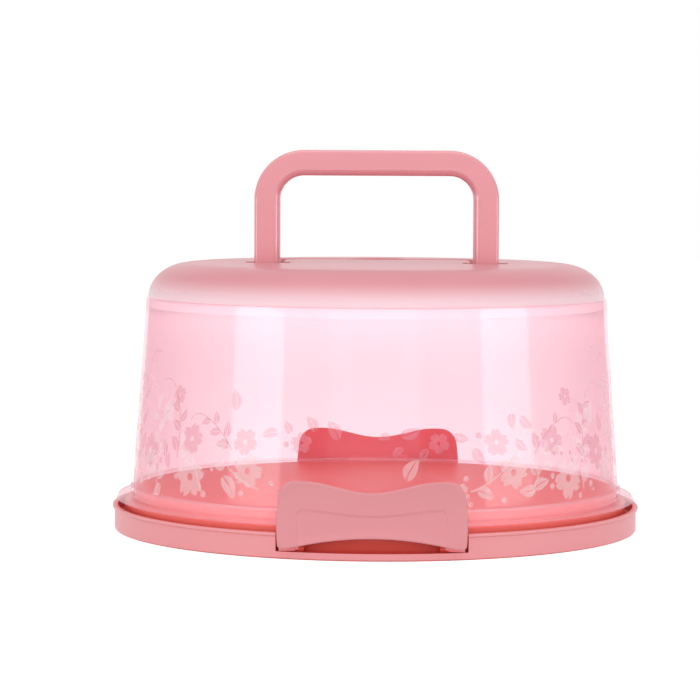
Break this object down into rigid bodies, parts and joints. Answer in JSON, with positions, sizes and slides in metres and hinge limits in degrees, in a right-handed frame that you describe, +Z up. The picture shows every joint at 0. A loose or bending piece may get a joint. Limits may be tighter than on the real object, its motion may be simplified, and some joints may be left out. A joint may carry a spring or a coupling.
{
  "type": "cake carrier",
  "caption": "Round cake carrier with a raised tray, a clear clip-on dome lid, an opaque cap with a folding handle, and two hinged side latches.",
  "frame": {"origin": "on the surface the tray stands on, under the centre of the carrier", "axes": "+Z up along the carrier's axis; -Y towards the front latch, +Y towards the rear latch; the handle lies across X"},
  "size_m": [0.26, 0.2672, 0.1863],
  "materials": {
    "tray_plastic": "gloss moulded pink",
    "clear_plastic": "clear moulded, pale pink tint",
    "cap_plastic": "satin moulded pink",
    "handle_plastic": "satin moulded pink",
    "latch_plastic": "fine satin moulded pink",
    "pin_steel": "drawn steel wire",
    "print_ink": "screen-printed ink, translucent pale pink"
  },
  "bodies": {
    "base": {"base_tray": "tray_plastic", "front_latch_pin_left": "pin_steel", "front_latch_pin_right": "pin_steel", "rear_latch_pin_left": "pin_steel", "rear_latch_pin_right": "pin_steel"},
    "lid": {"dome_wall": "clear_plastic", "top_cap": "cap_plastic", "handle_pin_left": "pin_steel", "handle_pin_right": "pin_steel"},
    "handle": {"handle": "handle_plastic"},
    "front_latch": {"front_latch": "latch_plastic"},
    "rear_latch": {"rear_latch": "latch_plastic"}
  },
  "joints": [
    {"name": "lid_lift", "type": "slide", "parent": "base", "child": "lid", "axis": [0, 0, 1], "range_m": [0, 0.012]},
    {"name": "handle_fold", "type": "hinge", "parent": "lid", "child": "handle", "pos_m": [0, 0, 0.1238], "axis": [-1, 0, 0], "range_deg": [0, 90]},
    {"name": "front_latch_open", "type": "hinge", "parent": "base", "child": "front_latch", "pos_m": [0, -0.1226, 0.0056], "axis": [1, 0, 0], "range_deg": [0, 48]},
    {"name": "rear_latch_open", "type": "hinge", "parent": "base", "child": "rear_latch", "pos_m": [0, 0.1226, 0.0056], "axis": [-1, 0, 0], "range_deg": [0, 48]}
  ],
  "couplings": [
    {"joint": "front_latch_open", "follows": "lid_lift", "rad_per_m": 69.8},
    {"joint": "rear_latch_open", "follows": "lid_lift", "rad_per_m": 69.8}
  ]
}
